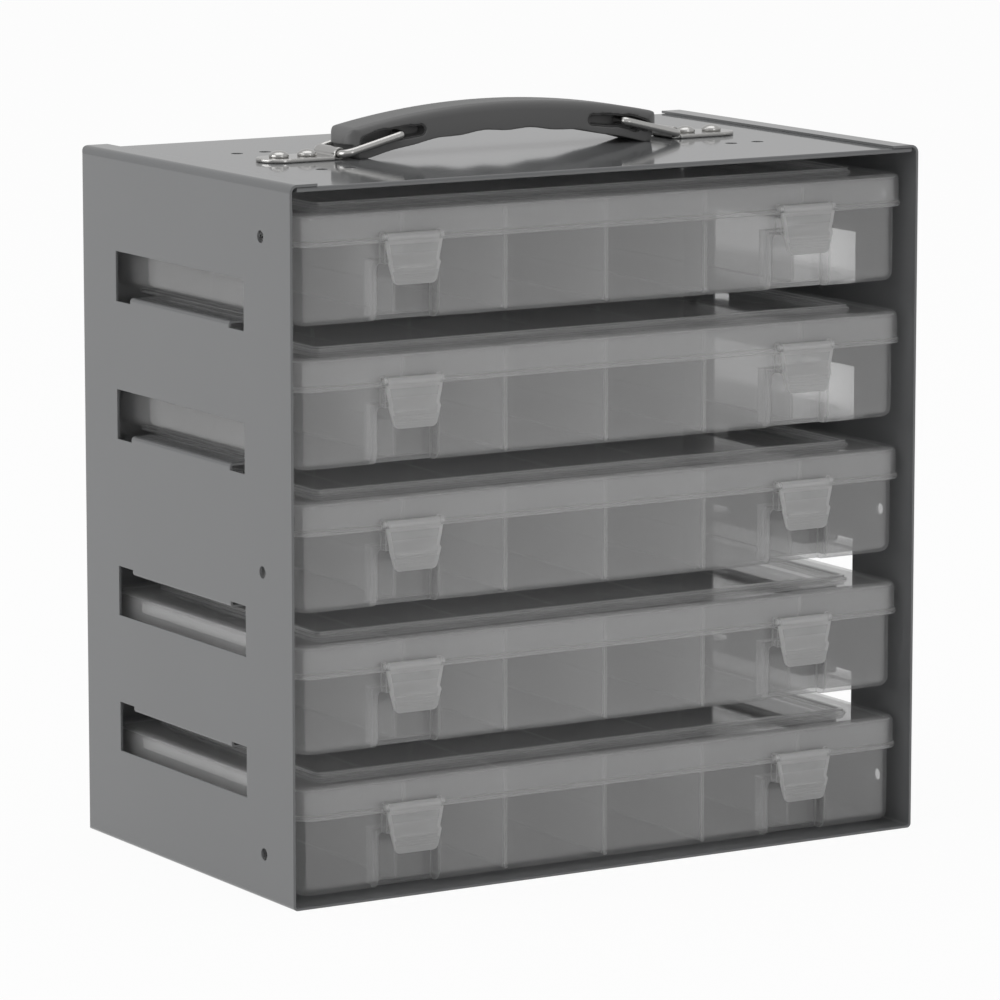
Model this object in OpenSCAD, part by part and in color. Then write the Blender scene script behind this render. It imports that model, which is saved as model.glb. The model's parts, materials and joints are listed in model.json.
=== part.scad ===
// Carrying rack of bent sheet steel with five lidded compartment boxes.
// Each box stands on a pair of ledges lanced out of the side walls and draws out at the front.
// The grip on top lies flat at rest and lifts on two wire links that slide in its slots.
// Millimetres, Z up, the front of the rack faces -Y, origin at the middle of the base.

/* [Box] */

// Width of a box across the lip of its lid
box_w = 281.8; // [262:0.1:300]
// Depth of a box from front lip to back lip
box_d = 160; // [152:1:185]
// Height of the foot rails under a tray
foot_h = 1.5; // [1:0.1:2.5]
// Height of the underside of the lid lip above the foot
lip_z = 32; // [30:0.5:40]
// Height of a lid from the underside of its lip to its flat top
lid_h = 13; // [11:0.5:15]
// Height of the stacking rim above the flat top of a lid
rim_h = 2; // [1.5:0.1:4]
// Distance from the front lip to the stacking rim, and the same at the back
rim_inset_y = 15; // [12:0.5:22]
// Distance from a side lip to the stacking rim
rim_inset_x = 16.5; // [14:0.5:26]
// Corner radius of the lip in plan
lip_r = 9; // [7:0.5:11]
// Height of the bead round the lip
bead_h = 1.9; // [1.4:0.1:2.4]
// How far the bead stands out from the skirt of the lid
bead_out = 0.7; // [0.4:0.1:1]
// Radius along the top edge of a lid
lid_edge_r = 2.8; // [1:0.1:3]
// Wall thickness of a lid
lid_wall = 1.3; // [1:0.1:1.6]

/* [Tray] */

// Step from the lip in to the tray wall
tray_inset = 3; // [2.6:0.1:4]
// Wall thickness of a tray
tray_wall = 1.4; // [1.2:0.1:2]
// Floor thickness of a tray
tray_floor = 1.6; // [1.2:0.1:2.5]
// Corner radius of a tray in plan
tray_r = 6; // [5:0.5:9]
// Radius between the walls and the bottom of a tray
tray_base_r = 4; // [3:0.5:4.5]
// Distance from a side wall of the tray in to its foot rail
foot_inset = 4.5; // [4:0.1:5]
// Width of a foot rail
foot_w = 2.5; // [1.5:0.1:3]
// Length of a foot rail
foot_l = 120; // [100:1:135]
// Thickness of a divider plate
divider_t = 1.2; // [0.8:0.1:1.6]
// Depth of the wall grooves that hold a divider plate
groove_depth = 0.6; // [0.4:0.1:0.8]

/* [Latches] */

// Distance from the middle of a box to the middle of a latch
latch_x = 90.5; // [70:0.5:105]
// Width of a latch across its hinge ears
latch_w = 26.4; // [23:0.1:28]
// Width of the latch plate at the crease
latch_crease_w = 22; // [20:0.1:22.4]
// Width of the latch plate at the thumb end
latch_thumb_w = 18; // [14:0.1:19]
// Length of the thumb end below the catch
thumb_len = 8; // [6:0.1:10]
// How far the thumb end leans out from the catch
thumb_lean = 0.6; // [0.2:0.1:0.8]
// Thickness of the latch plate
latch_t = 1.4; // [1.2:0.1:1.6]
// Distance from the front lip to the latch pivot
pivot_out = 1.3; // [1.2:0.1:1.6]
// Height of the latch pivot above the underside of the lip
pivot_rise = 2.5; // [2.3:0.1:4]
// Diameter of the latch barrel
barrel_d = 2.6; // [2.4:0.1:2.8]
// Distance from the underside of the lip to the bottom of a catch
catch_drop = 8; // [7:0.1:9]
// Depth of the finger recess in the tray wall behind a latch
recess_depth = 6; // [4:0.5:8]
// Width of the finger recess
recess_w = 27; // [24:0.5:30]
// Radius of the upper corners of the finger recess
recess_r = 2; // [1:0.1:4]

/* [Rear hinge] */

// Distance from the middle of a box to the middle of a hinge
hinge_x = 90; // [60:1:105]
// Distance from the back lip to the hinge pin
hinge_out = 2; // [1.9:0.1:2.6]
// Diameter of a hinge knuckle
knuckle_d = 4.4; // [4:0.1:4.8]
// Diameter of a hinge pin
pin_d = 2; // [1.6:0.1:2.4]
// Length of the tray's middle knuckle
tray_knuckle_l = 10; // [8:0.5:14]
// Length of each knuckle of the lid
lid_knuckle_l = 6; // [4:0.5:8]

/* [Rack] */

// Sheet thickness
sheet = 1; // [0.8:0.1:1.2]
// Gap between the boxes and the left wall
gap_left = 3.4; // [2:0.1:4.5]
// Gap between the boxes and the right wall
gap_right = 0.6; // [0.5:0.1:3]
// Distance from the front of the rack back to the latches
latch_recess = 0.1; // [0:0.1:3]
// Gap between the box hinges and the back panel
back_gap = 1; // [0.8:0.1:5]
// Gap between one box and the box above it
stack_gap = 8.3; // [7:0.1:12]
// Gap between the top box and the top panel
top_gap = 7.8; // [6:0.1:12]
// Width of the top and rear flanges of the side walls
flange_w = 12; // [9:0.5:16]
// Outside bend radius between walls and top flanges
top_bend_r = 3.2; // [2.4:0.1:4]
// Outside bend radius between walls and floor, and at the rear flanges
low_bend_r = 1.8; // [1.4:0.1:2.2]
// Length of the flat folded front edge of the top panel
hem_l = 8; // [6:0.5:12]

/* [Side walls] */

// Distance from the front of the rack to the side windows
window_front = 36.5; // [32:0.5:40]
// How much farther back the windows of the right wall lie
right_window_set = 5.5; // [0:0.5:6]
// Length of a side window
window_l = 105; // [95:1:108]
// Height of a side window
window_h = 17.5; // [14:0.5:19]
// Length of the ledge folded in from a window
ledge_l = 81; // [60:1:85]
// Reach of a ledge into the rack
ledge_reach = 16; // [16:0.5:18]
// Depth of the relief notches beside a ledge
notch = 1.5; // [1.3:0.1:2.2]
// Diameter of the holes along the front of the side walls
side_hole_d = 4.8; // [4:0.1:6]
// Distance from the front of the rack to those holes
side_hole_front = 23; // [18:0.5:26]
// Height of the lowest hole
side_hole_low = 18; // [14:0.5:24]
// Height of the middle hole
side_hole_mid = 128.3; // [120:0.5:136]
// Distance from the top of the rack down to the highest hole
side_hole_drop = 21.6; // [16:0.1:26]

/* [Handle] */

// Length of the grip
grip_l = 145; // [143:1:150]
// Width of the grip
grip_w = 20; // [18:0.5:24]
// How far the loose grip lies to the left of the middle
grip_shift = 2.3; // [0:0.1:2.5]
// Height of the middle of the grip above the top panel
grip_rise = 19.4; // [19:0.1:22]
// Radius of the arched top of the grip
grip_arc_r = 333; // [320:1:500]
// Radius along the top edges of the grip
grip_edge_r = 3; // [1.5:0.1:4]
// Radius of the ends of the grip, seen from above
grip_corner_r = 7; // [3:0.5:7]
// Radius of the upper end corners of the grip, seen from the side
grip_nose_r = 6; // [3:0.5:6.5]
// Height of the finger arch under the grip
arch_rise = 8.7; // [7.5:0.1:9]
// Half length of the finger arch
arch_half = 64; // [62.5:0.5:64.5]
// Spacing of the finger waves under the grip
wave_pitch = 22; // [20:0.5:24]
// Height of the finger waves
wave_h = 0.8; // [0.4:0.1:1.2]
// Distance from the middle of the rack to the eye of a handle plate
eye_x = 78; // [77.5:0.1:78.5]
// Diameter of the link wire
wire_d = 3.2; // [3:0.1:3.4]
// Length of a link from eye to pin
link_l = 27; // [26.5:0.1:27.5]
// Slope of a link when the grip lies down, in degrees
link_rest_angle = 14; // [13:0.5:15]
// Slope of a link when the grip is lifted, in degrees
link_raised_angle = 56; // [55:0.5:56.5]
// Travel of the grip between those two
grip_lift = 18.5; // [18.3:0.1:18.7]
// Length of a handle plate outside its eye
plate_l = 23; // [22:0.5:28]
// Width of a handle plate
plate_w = 18; // [17:0.5:20]
// Thickness of the strap that a handle plate is folded from
strap_t = 0.8; // [0.7:0.1:1]
// Distance from the eye to the first rivet of a plate
rivet_start = 10.3; // [9.9:0.1:10.5]
// Distance between the two rivets of a plate
rivet_pitch = 12.6; // [10:0.1:13]
// Diameter of a rivet head
rivet_head_d = 8; // [7.4:0.1:9]
// Diameter of a rivet shank
rivet_d = 4.8; // [4:0.1:5]
// Distance of the spare rivet holes in front of and behind the handle
spare_y = 34; // [28:0.5:40]

/* [Hidden] */

$fn = 48;
// Steps round the full circle of the grip's long arc
arc_steps = 1440;
box_count = 5;
columns = 6;
// Clearance of the pins and shanks in their holes
fit = 0.05;
// Clearance between pieces that pass each other
slack = 0.4;
// Overlap that joins two shapes of one piece
weld = 0.01;

// Box sizes that follow from the ones above
skirt_w = box_w - 2 * bead_out;
skirt_d = box_d - 2 * bead_out;
skirt_r = lip_r - bead_out;
lid_top = lip_z + lid_h;
box_top = lid_top + rim_h;
bead_edge_r = bead_h / 4;
tray_w = box_w - 2 * tray_inset;
tray_d = box_d - 2 * tray_inset;
tray_top = lid_top - lid_wall;
tray_floor_z = foot_h + tray_floor;
column_w = tray_w / columns;
divider_top = lip_z + 0.8 * lid_h;
rim_step_h = 0.4 * rim_h;
rim_step_w = 3.6;
rim_wall_w = 1.8;
rim_wall_in = 0.9;
rim_r = 4;

// Latch and catch sizes, the box standing at the origin
pivot_y = -box_d / 2 - pivot_out;
pivot_z = lip_z + pivot_rise;
trunnion_d = 0.55 * barrel_d;
ear_t = 1.6;
ear_gap = 0.2;
latch_front = pivot_y - 0.5 * barrel_d + 0.1;
latch_back = latch_front + latch_t;
border_w = 1.6;
border_h = 0.4;
catch_bottom = lip_z - catch_drop;
catch_top = lip_z - slack;
catch_front = latch_back + slack;
catch_side = 1;
catch_w = latch_crease_w + 2 * catch_side;
hook_gap = 0.2;
hook_h = 1.2;
hook_bite = 1.1;
hook_side = 1;
hook_w = latch_thumb_w - 2 * hook_side;
plate_top = pivot_z - barrel_d / 2 - 0.4;
plate_top_w = latch_w - 1.4;
thumb_bottom = catch_bottom - thumb_len;
thumb_corner = 1.6;
recess_top = catch_bottom - weld;

// Hinge sizes
hinge_y = box_d / 2 + hinge_out;
hinge_z = lip_z - 1;
knuckle_gap = 0.3;
hinge_back = hinge_out + knuckle_d / 2;
pin_l = tray_knuckle_l + 2 * (knuckle_gap + lid_knuckle_l);

// Rack sizes
front_recess = -box_d / 2 - (latch_front - border_h - thumb_lean) + latch_recess;
rack_w = box_w + gap_left + gap_right + 2 * sheet;
rack_d = front_recess + box_d + hinge_back + back_gap + 2 * sheet;
pitch = box_top + stack_gap;
panel_z = sheet + (box_count - 1) * pitch + box_top + top_gap + sheet;
rack_h = panel_z + sheet;
front = -rack_d / 2;
back = rack_d / 2;
inner_x = rack_w / 2 - sheet;
panel_w = rack_w - 2 * top_bend_r;
box_x = (gap_left - gap_right) / 2;
box_y = front + front_recess + box_d / 2;
window_mid = front + window_front + window_l / 2;
ledge_bend_r = 0.5;

// Handle sizes, heights measured from the top panel
wire_r = wire_d / 2;
eye_bore_r = wire_r + 2 * fit;
eye_r = eye_bore_r + strap_t;
plate_t = 2 * strap_t;
eye_l = plate_w - 2;
leg_y = grip_w / 2 + slack + wire_r;
eye_bend_r = leg_y - eye_l / 2 - slack;
tip_bend_r = 2;
slot_depth = 6;
slot_half = wire_r + 0.75 * slack;
slot_reach = 9.5;
slot_reach_rise = 1;
liner_t = 0.5;
liner_depth = 2;
liner_sink = 0.4;
grip_foot_l = 4;
end_rise = 2 * eye_r + slack;
end_slope = 1.5;
rivet_collar = 1.2;
rivet_dome = 1.5;
rivet_tail_lap = 1.1;
rivet_tail_d = rivet_d + 2 * rivet_tail_lap;
rivet_tail_h = 1.4;

box_pieces = ["tray", "lid", "dividers", "hinge_pins", "latch_left", "latch_right"];

// Extrusions of a flat outline along X and along Y

module along_x(x0, x1) {
    translate([x0, 0, 0])
        rotate([90, 0, 90])
            linear_extrude(x1 - x0)
                children();
}

module along_y(y0, y1) {
    translate([0, y1, 0])
        rotate([90, 0, 0])
            linear_extrude(y1 - y0)
                children();
}

module rod_x(d, length) {
    rotate([0, 90, 0])
        cylinder(d = d, h = length, center = true);
}

module rod_y(d, length) {
    rotate([90, 0, 0])
        cylinder(d = d, h = length, center = true);
}

module both_sides() {
    children();
    mirror([1, 0, 0])
        children();
}

module at_latches() {
    for (side = [-1, 1])
        translate([side * latch_x, 0, 0])
            children();
}

module at_hinges() {
    for (side = [-1, 1])
        translate([side * hinge_x, hinge_y, hinge_z])
            children();
}

// Flat outline with two rounded corners below and two above, standing on the axis
module upright(w, z0, z1, r_low, r_high) {
    mid = (z0 + z1) / 2;
    for (half = [[z0, mid - z0, r_low, z0 + r_low], [mid, z1 - mid, r_high, z1 - r_high]]) {
        r = half[2];
        if (r > 0) {
            translate([-w / 2 + r, half[0]])
                square([w - 2 * r, half[1]]);
            translate([-w / 2, half[0] == z0 ? z0 + r : mid])
                square([w, half[1] - r]);
            for (side = [-1, 1])
                translate([side * (w / 2 - r), half[3]])
                    circle(r);
        } else {
            translate([-w / 2, half[0]])
                square([w, half[1]]);
        }
    }
}

// Block with rounded upright corners and rounded lower and upper edges
module rounded_block(w, d, z0, z1, r, r_low = 0, r_high = 0) {
    along_x(-w / 2 + r, w / 2 - r)
        upright(d, z0, z1, r_low, r_high);
    along_y(-d / 2 + r, d / 2 - r)
        upright(w, z0, z1, r_low, r_high);
    for (sx = [-1, 1])
        for (sy = [-1, 1])
            translate([sx * (w / 2 - r), sy * (d / 2 - r), 0])
                rotate_extrude()
                    intersection() {
                        upright(2 * r, z0, z1, r_low, r_high);
                        translate([0, z0])
                            square([r, z1 - z0]);
                    }
}

module rounded_frame(w, d, z0, z1, r, wall) {
    difference() {
        rounded_block(w, d, z0, z1, r);
        rounded_block(w - 2 * wall, d - 2 * wall, z0 - 1, z1 + 1, max(r - wall, 1));
    }
}

// Rack body: floor, side walls, flanges and the ledges folded in from the walls

module wall_section() {
    difference() {
        upright(rack_w, 0, rack_h, low_bend_r, top_bend_r);
        upright(2 * inner_x, sheet, rack_h - sheet, low_bend_r - sheet, top_bend_r - sheet);
        translate([-rack_w / 2 + flange_w, rack_h / 2])
            square([rack_w - 2 * flange_w, rack_h]);
    }
}

// Outside corner that the rear bend rounds off, seen from above
module rear_corner() {
    difference() {
        translate([-rack_w / 2 - 1, back - low_bend_r])
            square([low_bend_r + 1, low_bend_r + 1]);
        translate([-rack_w / 2 + low_bend_r, back - low_bend_r])
            circle(low_bend_r);
    }
}

// Sheet bent from the wall into a ledge, the fold's inside corner below it
module ledge_section() {
    outside = ledge_bend_r + sheet;
    difference() {
        union() {
            translate([outside, -outside])
                square([sheet + ledge_reach - outside, outside]);
            translate([0, -outside - notch])
                square([outside, notch]);
            translate([outside, -outside])
                circle(outside);
        }
        translate([outside, -outside])
            circle(ledge_bend_r);
        translate([sheet, -2 * outside - notch])
            square([ledge_reach + 1, outside + notch]);
        translate([outside, -outside - weld])
            square([ledge_reach + 1, ledge_bend_r + weld]);
    }
}

// The two lower ledges hang from the top of their windows, the two upper ones rise from the bottom
function ledge_hangs(n) = n <= 3;

module ledge(n, set_back) {
    flip = ledge_hangs(n) ? 1 : 0;
    translate([-rack_w / 2, set_back, sheet + (n - 1) * pitch - flip * sheet])
        mirror([0, 0, flip])
            along_y(window_mid - ledge_l / 2, window_mid + ledge_l / 2)
                ledge_section();
}

module window(n, set_back) {
    top = sheet + (n - 1) * pitch;
    z0 = ledge_hangs(n) ? top - sheet - window_h : top - sheet - notch;
    z1 = ledge_hangs(n) ? top + notch : top + window_h;
    translate([-rack_w / 2 - 1, window_mid - window_l / 2 + set_back, z0])
        cube([sheet + 2, window_l, z1 - z0]);
}

module side_holes() {
    for (z = [side_hole_low, side_hole_mid, rack_h - side_hole_drop])
        translate([-rack_w / 2, front + side_hole_front, z])
            rod_x(side_hole_d, 4 * sheet);
}

module rack_body() {
    color("DimGray")
        union() {
            difference() {
                union() {
                    along_y(front, back)
                        wall_section();
                    both_sides()
                        translate([-rack_w / 2 + weld, back - sheet, low_bend_r])
                            cube([flange_w - weld, sheet, panel_z - top_bend_r - low_bend_r]);
                }
                both_sides() {
                    translate([0, 0, -1])
                        linear_extrude(rack_h + 2)
                            rear_corner();
                    side_holes();
                }
                for (side = [0, 1])
                    mirror([side, 0, 0])
                        for (n = [2 : box_count])
                            window(n, side * right_window_set);
            }
            for (side = [0, 1])
                mirror([side, 0, 0])
                    for (n = [2 : box_count])
                        ledge(n, side * right_window_set);
        }
}

// Top and back panel, one sheet bent once, with a folded front edge

module panel_section() {
    outside = low_bend_r;
    inside = low_bend_r - sheet;
    rear = back - sheet;
    difference() {
        union() {
            translate([front + sheet, panel_z - outside])
                square([rear - outside - front - sheet, outside]);
            translate([rear - outside, sheet])
                square([outside, panel_z - outside - sheet]);
            translate([rear - outside, panel_z - outside])
                circle(outside);
        }
        translate([rear - outside, panel_z - outside])
            circle(inside);
        translate([front, 0])
            square([rear - outside - front, panel_z - sheet]);
        translate([front, 0])
            square([rear - sheet - front, panel_z - outside]);
    }
    translate([front + sheet, panel_z - 2 * sheet])
        square([hem_l, 2 * sheet]);
    translate([front + sheet, panel_z - sheet])
        circle(sheet);
}

function rivet_xs() = [eye_x + rivet_start, eye_x + rivet_start + rivet_pitch];

module rivet_holes(y) {
    for (x = rivet_xs())
        translate([x, y, panel_z])
            cylinder(d = rivet_d + 2 * fit, h = 8 * sheet, center = true);
}

module top_back_panel() {
    color("DarkGray")
        difference() {
            along_x(-panel_w / 2, panel_w / 2)
                panel_section();
            both_sides() {
                rivet_holes(0);
                rivet_holes(-spare_y);
            }
            mirror([1, 0, 0])
                rivet_holes(spare_y);
        }
}

// Handle plates and rivets, drawn on the right

module handle_plate() {
    color("Silver")
        translate([0, 0, panel_z])
            difference() {
                union() {
                    linear_extrude(plate_t) {
                        translate([eye_x, -plate_w / 2])
                            square([plate_l, plate_w]);
                        translate([eye_x + plate_l, 0])
                            circle(d = plate_w);
                    }
                    translate([eye_x, 0, eye_r])
                        rod_y(2 * eye_r, eye_l);
                }
                translate([eye_x, 0, eye_r])
                    rod_y(2 * eye_bore_r, plate_w + 2);
                translate([eye_x - eye_r - 1, eye_l / 2, -1])
                    cube([2 * eye_r + 1, plate_w, plate_t + 2]);
                translate([eye_x - eye_r - 1, -eye_l / 2 - plate_w, -1])
                    cube([2 * eye_r + 1, plate_w, plate_t + 2]);
                translate([0, 0, -panel_z])
                    rivet_holes(0);
            }
}

module rivet() {
    head_r = rivet_head_d / 2;
    dome_r = (head_r * head_r + rivet_dome * rivet_dome) / (2 * rivet_dome);
    translate([0, 0, -sheet - rivet_tail_h])
        cylinder(d = rivet_tail_d, h = rivet_tail_h);
    translate([0, 0, -sheet - weld])
        cylinder(d = rivet_d, h = sheet + plate_t + 2 * weld);
    translate([0, 0, plate_t])
        cylinder(r = head_r, h = rivet_collar);
    translate([0, 0, plate_t + rivet_collar])
        intersection() {
            translate([0, 0, rivet_dome - dome_r])
                sphere(dome_r);
            cylinder(r = head_r, h = rivet_dome + 1);
        }
}

module handle_rivets() {
    color("Silver")
        both_sides()
            for (x = rivet_xs())
                translate([x, 0, panel_z])
                    rivet();
}

// Grip: the arched bar, its finger arch and the slots for the link pins

function link_slope(t) = link_rest_angle + t * (link_raised_angle - link_rest_angle);
function pin_point(t) = [
    eye_x - link_l * cos(link_slope(t)),
    eye_r + link_l * sin(link_slope(t)) - t * grip_lift
];
slot_steps = 12;
cap_step = 15;
slot_path = concat(
    [pin_point(0) + [-slot_reach, slot_reach_rise]],
    [for (i = [0 : slot_steps]) pin_point(i / slot_steps)]
);

// Direction along the path at one of its points, and the direction square to it
function path_run(i) =
    let (run = slot_path[min(i + 1, len(slot_path) - 1)] - slot_path[max(i - 1, 0)])
    run / norm(run);
function path_side(i) = [-path_run(i)[1], path_run(i)[0]];

// Half circle that closes the outline at one end of the path, turning from one side to the other
function slot_cap(i, half, turn) = [
    for (a = [cap_step : cap_step : 180 - cap_step])
        slot_path[i] + turn * half * (cos(a) * path_side(i) + sin(a) * path_run(i))
];

module slot_outline(half) {
    last = len(slot_path) - 1;
    polygon(concat(
        [for (i = [0 : last]) slot_path[i] + half * path_side(i)],
        slot_cap(last, half, 1),
        [for (i = [last : -1 : 0]) slot_path[i] - half * path_side(i)],
        slot_cap(0, half, -1)
    ));
}

// Room for the pins wherever the loose grip lies between its two ends of play
module slot_room(half) {
    for (side = [-1, 1])
        translate([side * grip_shift, 0])
            slot_outline(half);
}

function arch_z(x) = arch_rise * (1 - pow(x / arch_half, 2)) - wave_h * pow(cos(180 * x / wave_pitch), 2)
    * (1 - pow(x / arch_half, 2));

module finger_arch() {
    polygon(concat(
        [[arch_half, -1], [-arch_half, -1]],
        [for (x = [-arch_half : 1 : arch_half]) [x, arch_z(x)]],
        [[arch_half, 0]]
    ));
}

module end_undercut() {
    start = arch_half + grip_foot_l;
    polygon([[start, -1], [start, 0], [start + end_slope, end_rise], [grip_l, end_rise], [grip_l, -1]]);
}

function arc_drop(x) = grip_arc_r - sqrt(pow(grip_arc_r, 2) - pow(x, 2));

// Side view that the bar is trimmed to, its upper end corners rounded
module trimmed_ends() {
    flat = grip_l / 2 - grip_nose_r;
    upright(grip_l, 0, grip_rise - arc_drop(flat), 0, grip_nose_r);
    translate([-flat, 0])
        square([2 * flat, 2 * grip_rise]);
}

module grip_bar() {
    sweep = 2 * asin(grip_l / 2 / (grip_arc_r - 2 * grip_rise));
    translate([0, 0, grip_rise - grip_arc_r])
        rotate([90, 0, 0])
            rotate([0, 0, 90 - sweep / 2])
                rotate_extrude(angle = sweep, $fn = arc_steps)
                    translate([grip_arc_r - 2 * grip_rise, 0])
                        rotate([0, 0, -90])
                            upright(grip_w, 0, 2 * grip_rise, 0, grip_edge_r);
}

module grip() {
    color("#404040")
        translate([-grip_shift, 0, panel_z])
            difference() {
                intersection() {
                    grip_bar();
                    rounded_block(grip_l, grip_w, 0, 2 * grip_rise, grip_corner_r);
                    along_y(-grip_w, grip_w)
                        trimmed_ends();
                }
                along_y(-grip_w, grip_w)
                    finger_arch();
                both_sides() {
                    along_y(-grip_w, grip_w)
                        end_undercut();
                    for (side = [0, 1])
                        mirror([0, side, 0]) {
                            along_y(grip_w / 2 - slot_depth, grip_w)
                                slot_room(slot_half);
                            along_y(grip_w / 2 - liner_depth, grip_w)
                                slot_room(slot_half + liner_t);
                        }
                }
            }
}

module slot_liners() {
    color("LightGray")
        translate([-grip_shift, 0, panel_z])
            both_sides()
                for (side = [0, 1])
                    mirror([0, side, 0])
                        along_y(grip_w / 2 - liner_depth, grip_w / 2 - liner_sink)
                            difference() {
                                slot_room(slot_half + liner_t - fit);
                                slot_room(slot_half);
                            }
}

// Wire link on the left: cross bar in the eye, two legs, tips turned in as pins

module half_link() {
    pin_in = grip_w / 2 - slot_depth + slack;
    rotate([-90, 0, 0])
        cylinder(r = wire_r, h = leg_y - eye_bend_r);
    translate([eye_bend_r, leg_y - eye_bend_r, 0])
        rotate([0, 0, 90])
            rotate_extrude(angle = 90)
                translate([eye_bend_r, 0])
                    circle(wire_r);
    translate([eye_bend_r, leg_y, 0])
        rotate([0, 90, 0])
            cylinder(r = wire_r, h = link_l - eye_bend_r - tip_bend_r);
    translate([link_l - tip_bend_r, leg_y - tip_bend_r, 0])
        rotate_extrude(angle = 90)
            translate([tip_bend_r, 0])
                circle(wire_r);
    translate([link_l, pin_in, 0])
        rotate([-90, 0, 0])
            cylinder(r = wire_r, h = leg_y - tip_bend_r - pin_in);
}

module wire_link() {
    color("Silver")
        translate([-eye_x, 0, panel_z + eye_r])
            rotate([0, -link_rest_angle, 0]) {
                half_link();
                mirror([0, 1, 0])
                    half_link();
            }
}

// Tray with its finger recesses, catches, divider grooves, foot rails and hinge knuckles

// Room that a finger recess takes up inside the tray, with its own wall round it
module recess_room(wall) {
    at_latches()
        translate([-recess_w / 2 - wall, -tray_d / 2, 0])
            cube([recess_w + 2 * wall, recess_depth + wall, recess_top + wall]);
}

module tray_hollow() {
    difference() {
        rounded_block(
            tray_w - 2 * tray_wall, tray_d - 2 * tray_wall, tray_floor_z, tray_top + 1,
            tray_r - tray_wall, tray_base_r - tray_wall
        );
        recess_room(tray_wall);
    }
}

function divider_xs() = [for (i = [1 : columns - 1]) -tray_w / 2 + i * column_w];

module divider_grooves() {
    length = tray_d - 2 * tray_wall + 2 * groove_depth;
    width = divider_t + 2 * fit;
    for (x = divider_xs())
        translate([x - width / 2, -length / 2, tray_floor_z])
            cube([width, length, tray_top]);
}

module tray() {
    color("#B8B8B8", 0.6)
        difference() {
            union() {
                difference() {
                    rounded_block(tray_w, tray_d, foot_h, tray_top, tray_r, tray_base_r);
                    tray_hollow();
                    difference() {
                        divider_grooves();
                        recess_room(tray_wall);
                    }
                }
                both_sides()
                    translate([tray_w / 2 - foot_inset - foot_w, -foot_l / 2, 0])
                        cube([foot_w, foot_l, foot_h + weld]);
                at_latches()
                    translate([-catch_w / 2, catch_front, catch_bottom])
                        cube([catch_w, -tray_d / 2 - catch_front + weld, catch_top - catch_bottom]);
                at_hinges() {
                    rod_x(knuckle_d, tray_knuckle_l);
                    translate([-tray_knuckle_l / 2, tray_d / 2 - weld - hinge_y, -knuckle_d / 2])
                        cube([tray_knuckle_l, hinge_y - tray_d / 2 + weld, knuckle_d / 4]);
                }
            }
            at_latches()
                along_y(-tray_d / 2 - 1, -tray_d / 2 + recess_depth)
                    upright(recess_w, -1, recess_top, 0, recess_r);
            at_hinges()
                rod_x(pin_d + 2 * fit, tray_knuckle_l + 2);
        }
}

module dividers() {
    length = tray_d - 2 * tray_wall + 2 * groove_depth - 2 * fit;
    color("#C4C4C4", 0.6)
        difference() {
            for (x = divider_xs())
                translate([x - divider_t / 2, -length / 2, tray_floor_z])
                    cube([divider_t, length, divider_top - tray_floor_z]);
            recess_room(tray_wall + slack);
        }
}

// Lid with its bead, stacking rim, latch ears and hinge knuckles

module lid_shell() {
    difference() {
        union() {
            rounded_block(skirt_w, skirt_d, lip_z, lid_top, skirt_r, 0, lid_edge_r);
            rounded_block(box_w, box_d, lip_z, lip_z + bead_h, lip_r, bead_edge_r, bead_edge_r);
        }
        rounded_block(
            skirt_w - 2 * lid_wall, skirt_d - 2 * lid_wall, lip_z - 1, lid_top - lid_wall, skirt_r - lid_wall
        );
        at_latches()
            translate([-latch_w / 2, -box_d / 2 - 1, lip_z - 1])
                cube([latch_w, 1 + bead_out, lid_h]);
        for (side = [-1, 1])
            translate([side * hinge_x - tray_knuckle_l / 2 - knuckle_gap, skirt_d / 2, lip_z - 1])
                cube([tray_knuckle_l + 2 * knuckle_gap, bead_out + 1, lid_h]);
    }
}

module stacking_rim() {
    w = box_w - 2 * rim_inset_x;
    d = box_d - 2 * rim_inset_y;
    rounded_frame(w, d, lid_top - weld, lid_top + rim_step_h, rim_r, rim_step_w);
    rounded_frame(
        w - 2 * rim_wall_in, d - 2 * rim_wall_in, lid_top - weld, box_top, rim_r - rim_wall_in, rim_wall_w
    );
}

module latch_ears() {
    for (side = [-1, 1])
        translate([side * (latch_w - ear_t) / 2, 0, 0])
            difference() {
                union() {
                    translate([-ear_t / 2, pivot_y, pivot_z - barrel_d / 2])
                        cube([ear_t, -skirt_d / 2 - pivot_y + weld, barrel_d]);
                    translate([0, pivot_y, pivot_z])
                        rod_x(barrel_d, ear_t);
                }
                translate([0, pivot_y, pivot_z])
                    rod_x(trunnion_d + 2 * fit, ear_t + 1);
            }
}

module lid_knuckles() {
    reach = hinge_y - skirt_d / 2;
    for (side = [-1, 1])
        translate([side * (tray_knuckle_l + lid_knuckle_l + 2 * knuckle_gap) / 2, 0, 0])
            difference() {
                union() {
                    rod_x(knuckle_d, lid_knuckle_l);
                    translate([-lid_knuckle_l / 2, -reach - weld, lip_z - hinge_z])
                        cube([lid_knuckle_l, reach + weld, knuckle_d / 2 - (lip_z - hinge_z)]);
                }
                rod_x(pin_d + 2 * fit, lid_knuckle_l + 1);
            }
}

module lid() {
    color("#C8C8C8", 0.6)
        union() {
            lid_shell();
            stacking_rim();
            at_latches()
                latch_ears();
            at_hinges()
                lid_knuckles();
        }
}

module hinge_pins() {
    color("Silver")
        at_hinges()
            rod_x(pin_d, pin_l);
}

// Latch, drawn on the middle of the box

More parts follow.
